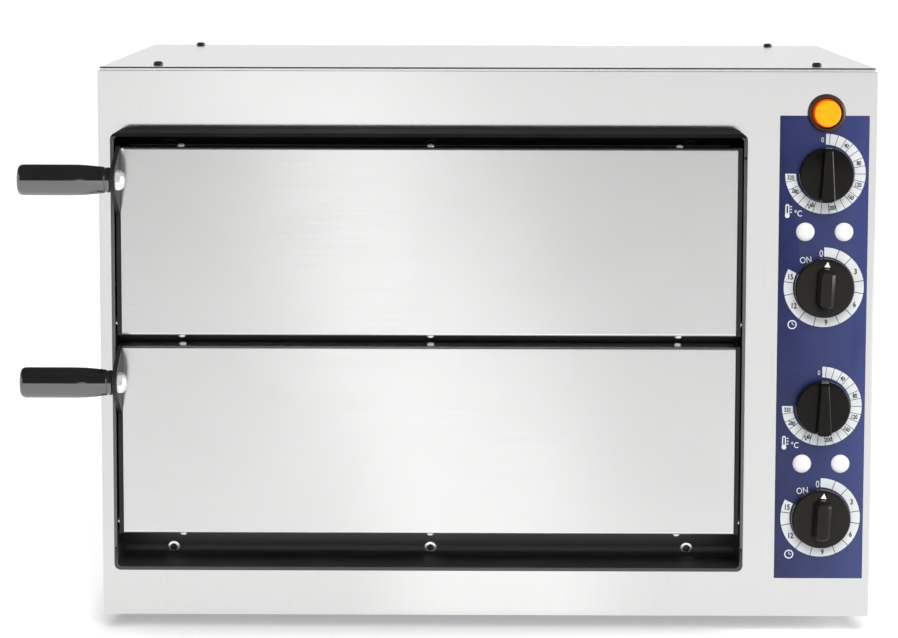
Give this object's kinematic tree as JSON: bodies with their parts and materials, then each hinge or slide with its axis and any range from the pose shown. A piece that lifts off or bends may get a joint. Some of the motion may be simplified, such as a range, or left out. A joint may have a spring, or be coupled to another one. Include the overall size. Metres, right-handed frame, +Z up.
{
  "type": "countertop pizza oven",
  "caption": "Countertop electric pizza oven with stacked baking chambers, drop-down doors with side handles, and a control column of thermostat and timer dials.",
  "frame": {"origin": "middle of the overall footprint (handles and cable gland included), on the counter", "axes": "+X to the right seen from the front, the doors face -Y, +Z up"},
  "size_m": [0.616, 0.517, 0.4209],
  "materials": {
    "brushed_steel_panel": "vertical brushed grain, satin",
    "door_skin_steel": "horizontal brushed grain, satin",
    "dull_steel": "plain mill finish",
    "black_paint": "satin black powder coat",
    "black_plastic": "fine matt moulded",
    "grip_plastic": "polished phenolic",
    "bright_metal": "bright zinc plate",
    "heater_sheath": "dark oxidised sheath",
    "baking_stone": "matt fired clay",
    "insulation": "mineral wool",
    "overlay_film": "textured navy film",
    "white_lens": "translucent white",
    "amber_lens": "translucent amber",
    "control_body": "moulded and plated case",
    "rubber": "moulded rubber"
  },
  "bodies": {
    "chassis": {"front_panel": "brushed_steel_panel", "left_side_panel": "brushed_steel_panel", "right_side_panel": "brushed_steel_panel", "rear_panel": "brushed_steel_panel", "top_cover": "brushed_steel_panel", "base_tray": "dull_steel", "door_frame": "black_paint", "sill_pan": "black_paint", "centre_rail": "black_paint", "cover_screw_front_left": "black_paint", "foot_front_left": "rubber", "cover_screw_front_right": "black_paint", "foot_front_right": "rubber", "cover_screw_rear_left": "black_paint", "foot_rear_left": "rubber", "cover_screw_rear_right": "black_paint", "foot_rear_right": "rubber", "upper_chamber": "dull_steel", "upper_baking_stone": "baking_stone", "upper_top_element": "heater_sheath", "upper_bottom_element": "heater_sheath", "upper_thermostat": "control_body", "upper_timer": "control_body", "upper_heat_lamp": "white_lens", "upper_timer_lamp": "white_lens", "lower_chamber": "dull_steel", "lower_baking_stone": "baking_stone", "lower_top_element": "heater_sheath", "lower_bottom_element": "heater_sheath", "lower_thermostat": "control_body", "lower_timer": "control_body", "lower_heat_lamp": "white_lens", "lower_timer_lamp": "white_lens", "insulation_jacket": "insulation", "control_overlay": "overlay_film", "main_lamp_bezel": "black_plastic", "main_lamp_lens": "amber_lens", "cable_gland": "black_plastic"},
    "upper_door": {"upper_door_skin": "door_skin_steel", "upper_door_liner": "dull_steel", "upper_door_left_cheek": "black_paint", "upper_door_right_cheek": "black_paint", "upper_handle_grip": "grip_plastic", "upper_handle_bolt": "bright_metal", "upper_hinge_rod": "bright_metal"},
    "upper_thermostat_dial": {"upper_thermostat_knob": "black_plastic", "upper_thermostat_spindle": "bright_metal"},
    "upper_timer_dial": {"upper_timer_knob": "black_plastic", "upper_timer_spindle": "bright_metal"},
    "lower_door": {"lower_door_skin": "door_skin_steel", "lower_door_liner": "dull_steel", "lower_door_left_cheek": "black_paint", "lower_door_right_cheek": "black_paint", "lower_handle_grip": "grip_plastic", "lower_handle_bolt": "bright_metal", "lower_hinge_rod": "bright_metal"},
    "lower_thermostat_dial": {"lower_thermostat_knob": "black_plastic", "lower_thermostat_spindle": "bright_metal"},
    "lower_timer_dial": {"lower_timer_knob": "black_plastic", "lower_timer_spindle": "bright_metal"}
  },
  "joints": [
    {"name": "upper_door_hinge", "type": "hinge", "parent": "chassis", "child": "upper_door", "pos_m": [0.024, -0.2115, 0.2364], "axis": [1, 0, 0], "range_deg": [0, 90]},
    {"name": "lower_door_hinge", "type": "hinge", "parent": "chassis", "child": "lower_door", "pos_m": [0.024, -0.2115, 0.0918], "axis": [1, 0, 0], "range_deg": [0, 90]},
    {"name": "upper_thermostat_turn", "type": "hinge", "parent": "chassis", "child": "upper_thermostat_dial", "pos_m": [0.2707, -0.1675, 0.3412], "axis": [0, 1, 0], "range_deg": [0, 270]},
    {"name": "upper_timer_turn", "type": "hinge", "parent": "chassis", "child": "upper_timer_dial", "pos_m": [0.2707, -0.1675, 0.258], "axis": [0, 1, 0], "range_deg": [-36, 288]},
    {"name": "lower_thermostat_turn", "type": "hinge", "parent": "chassis", "child": "lower_thermostat_dial", "pos_m": [0.2707, -0.1675, 0.17], "axis": [0, 1, 0], "range_deg": [0, 270]},
    {"name": "lower_timer_turn", "type": "hinge", "parent": "chassis", "child": "lower_timer_dial", "pos_m": [0.2707, -0.1675, 0.087], "axis": [0, 1, 0], "range_deg": [-36, 288]}
  ]
}
